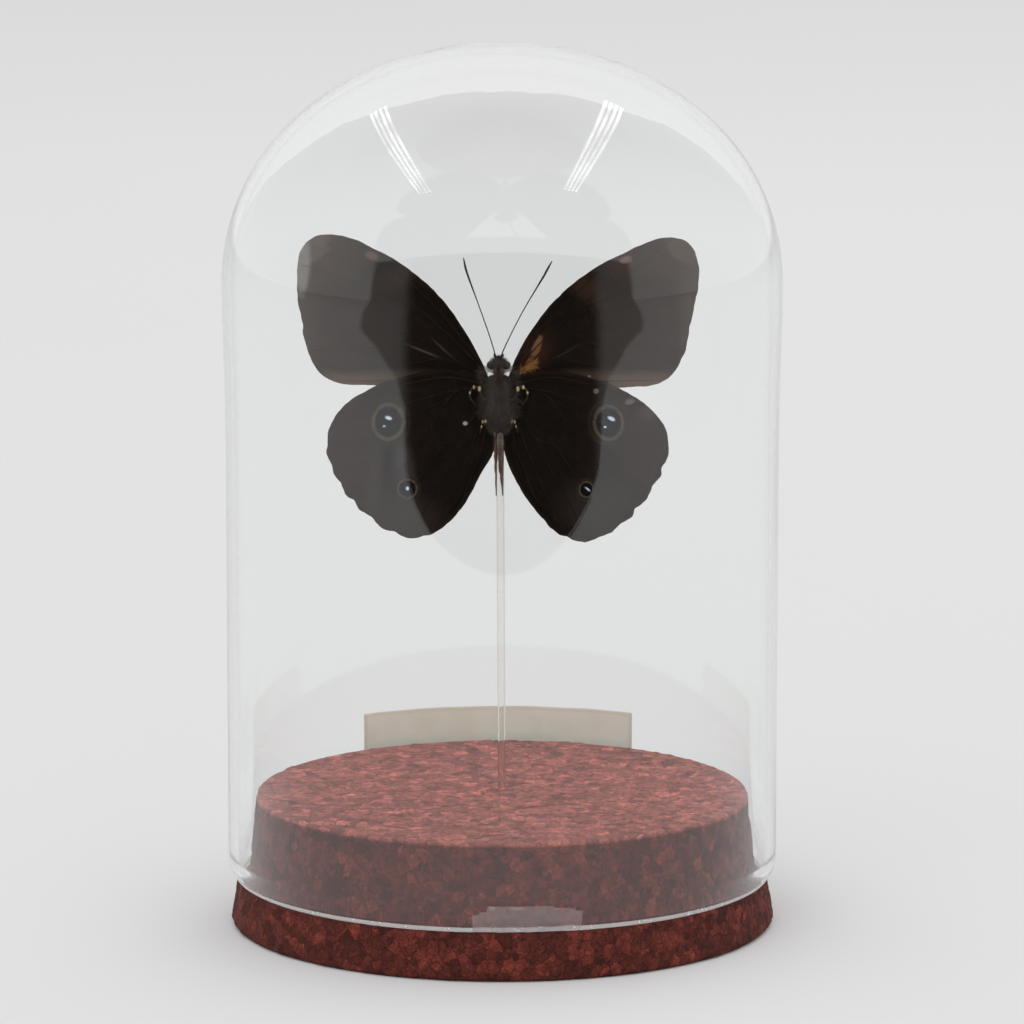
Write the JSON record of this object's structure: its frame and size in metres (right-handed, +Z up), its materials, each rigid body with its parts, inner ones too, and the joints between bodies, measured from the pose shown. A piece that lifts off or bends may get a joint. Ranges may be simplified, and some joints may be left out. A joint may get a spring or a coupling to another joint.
{
  "type": "insect in glass dome",
  "caption": "Dried eyespotted butterfly held upright on a clear rod, under a glass dome that sits on a stepped round cork base.",
  "frame": {"origin": "middle of the cork base's underside, on the dome's axis", "axes": "+Z up along the dome's axis; -Y is the front, where the butterfly shows its underside; +X to the right seen from the front"},
  "size_m": [0.126, 0.126, 0.2],
  "materials": {
    "clear_glass": "clear, polished",
    "dyed_cork": "agglomerated cork dyed mahogany red, matt",
    "clear_rod": "clear, polished",
    "label_paper": "aged cream paper, blank",
    "body_hair": "dried chitin under fine dark hair",
    "wing_scales": "matt dark brown scales with eyespots",
    "dark_horn": "thin dark chitin, half gloss"
  },
  "bodies": {
    "root": {"glass_dome": "clear_glass", "cork_base": "dyed_cork", "mounting_rod": "clear_rod", "paper_label": "label_paper", "head": "body_hair", "thorax": "body_hair", "abdomen": "body_hair", "forewing_left": "wing_scales", "forewing_right": "wing_scales", "hindwing_left": "wing_scales", "hindwing_right": "wing_scales", "antenna_left": "dark_horn", "antenna_right": "dark_horn", "palp_left": "body_hair", "palp_right": "body_hair", "mid_leg_left": "dark_horn", "mid_leg_right": "dark_horn", "hind_leg_left": "dark_horn", "hind_leg_right": "dark_horn"}
  },
  "joints": []
}
